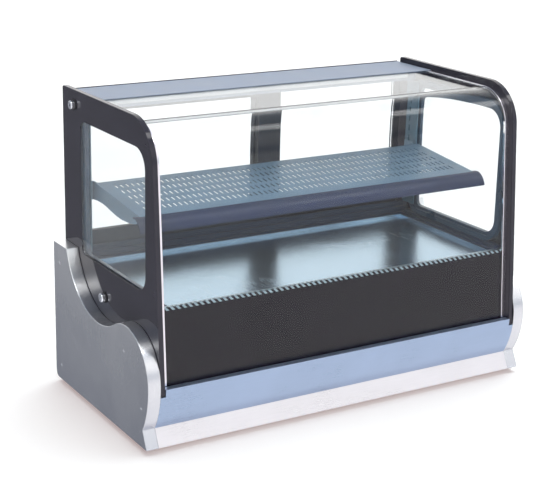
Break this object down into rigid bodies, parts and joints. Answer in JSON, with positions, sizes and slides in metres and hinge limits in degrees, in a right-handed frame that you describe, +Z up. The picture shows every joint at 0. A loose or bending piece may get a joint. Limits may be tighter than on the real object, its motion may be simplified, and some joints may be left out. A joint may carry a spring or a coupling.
{
  "type": "bakery display case",
  "caption": "Countertop refrigerated bakery display case with curved front glass, sliding rear doors, one shelf and silver S-curved side panels",
  "frame": {"origin": "On the resting plane under the middle of the case: half the overall width, half the overall depth, at the underside of the rubber feet", "axes": "+X to the right seen from the front, +Y to the rear (serving side), +Z up; the curved glass faces -Y"},
  "size_m": [0.9, 0.449, 0.632],
  "materials": {
    "case_metal": "fine brushed, blue-silver sheen",
    "plain_steel": "plain stainless",
    "bright_metal": "polished",
    "trim_metal": "satin",
    "shelf_metal": "satin blue-grey",
    "dark_metal": "satin dark",
    "black_metal": "gloss black enamel",
    "black_glass": "black printed back",
    "clear_glass": "clear",
    "black_plastic": "fine texture",
    "grey_plastic": "smooth",
    "green_plastic": "translucent",
    "white_plastic": "smooth",
    "window_plastic": "dark smoked red",
    "black_rubber": "matt",
    "copper": "drawn tube"
  },
  "bodies": {
    "case": {"base_pan": "plain_steel", "rubber_feet": "black_rubber", "side_panel_left": "case_metal", "side_panel_right": "case_metal", "panel_screws": "bright_metal", "front_panel": "case_metal", "kick_plate": "case_metal", "rear_panel": "plain_steel", "control_plate": "black_plastic", "thermostat": "black_plastic", "thermostat_window": "window_plastic", "switch_housings": "black_plastic", "cable_gland": "black_plastic", "compressor": "black_metal", "compressor_mounts": "black_rubber", "condenser": "trim_metal", "condenser_fan_motor": "black_plastic", "filter_drier": "copper", "refrigerant_pipes": "copper", "insulated_tub": "white_plastic", "evaporator": "trim_metal", "evaporator_fan_motor": "black_plastic", "drain_pipe": "white_plastic", "vent_comb": "plain_steel", "side_sills": "plain_steel", "rear_sill": "plain_steel", "head_beam": "case_metal", "led_lamp": "white_plastic", "pillar_left": "plain_steel", "pillar_right": "plain_steel", "side_frame_left": "black_glass", "side_frame_right": "black_glass", "side_glass_left": "clear_glass", "side_glass_right": "clear_glass", "inner_frame_left": "trim_metal", "inner_frame_right": "trim_metal", "front_glass": "clear_glass", "front_glass_band": "black_glass", "glass_trims": "trim_metal", "glass_bolts": "bright_metal", "bolt_washers": "black_rubber", "shelf_bracket_left": "shelf_metal", "shelf_bracket_right": "shelf_metal"},
    "left_door": {"door_left": "dark_metal", "door_left_glass": "clear_glass"},
    "right_door": {"door_right": "dark_metal", "door_right_glass": "clear_glass"},
    "shelf_plate": {"shelf": "shelf_metal", "shelf_rail": "dark_metal"},
    "deck": {"deck_tray": "plain_steel"},
    "drip_tray": {"condensate_tray": "black_plastic"},
    "condenser_blades": {"condenser_fan": "black_plastic"},
    "evaporator_blades": {"evaporator_fan": "black_plastic"},
    "power_switch": {"power_rocker": "green_plastic"},
    "light_switch": {"light_rocker": "black_plastic"},
    "set_key": {"button_set": "grey_plastic"},
    "up_key": {"button_up": "grey_plastic"},
    "down_key": {"button_down": "grey_plastic"},
    "defrost_key": {"button_defrost": "grey_plastic"}
  },
  "joints": [
    {"name": "left_door_slide", "type": "slide", "parent": "case", "child": "left_door", "axis": [1, 0, 0], "range_m": [0, 0.33]},
    {"name": "right_door_slide", "type": "slide", "parent": "case", "child": "right_door", "axis": [-1, 0, 0], "range_m": [0, 0.4]},
    {"name": "shelf_lift", "type": "slide", "parent": "case", "child": "shelf_plate", "axis": [0, 0, 1], "range_m": [0, 0.03]},
    {"name": "deck_lift", "type": "slide", "parent": "case", "child": "deck", "axis": [0, 0, 1], "range_m": [0, 0.02]},
    {"name": "drip_tray_slide", "type": "slide", "parent": "case", "child": "drip_tray", "axis": [0, 1, 0], "range_m": [0, 0.12]},
    {"name": "condenser_fan_spin", "type": "hinge", "parent": "case", "child": "condenser_blades", "pos_m": [0.24, 0.1125, 0.098], "axis": [0, 1, 0], "continuous": true},
    {"name": "evaporator_fan_spin", "type": "hinge", "parent": "case", "child": "evaporator_blades", "pos_m": [0.27, 0.0125, 0.222], "axis": [0, 0, 1], "continuous": true},
    {"name": "power_switch_rock", "type": "hinge", "parent": "case", "child": "power_switch", "pos_m": [-0.088, 0.2095, 0.137], "axis": [1, 0, 0], "range_deg": [0, 16]},
    {"name": "light_switch_rock", "type": "hinge", "parent": "case", "child": "light_switch", "pos_m": [0.084, 0.2095, 0.137], "axis": [1, 0, 0], "range_deg": [0, 16]},
    {"name": "set_key_press", "type": "slide", "parent": "case", "child": "set_key", "axis": [0, -1, 0], "range_m": [0, 0.001], "stiffness_N_per_m": 150},
    {"name": "up_key_press", "type": "slide", "parent": "case", "child": "up_key", "axis": [0, -1, 0], "range_m": [0, 0.001], "stiffness_N_per_m": 150},
    {"name": "down_key_press", "type": "slide", "parent": "case", "child": "down_key", "axis": [0, -1, 0], "range_m": [0, 0.001], "stiffness_N_per_m": 150},
    {"name": "defrost_key_press", "type": "slide", "parent": "case", "child": "defrost_key", "axis": [0, -1, 0], "range_m": [0, 0.001], "stiffness_N_per_m": 150}
  ]
}
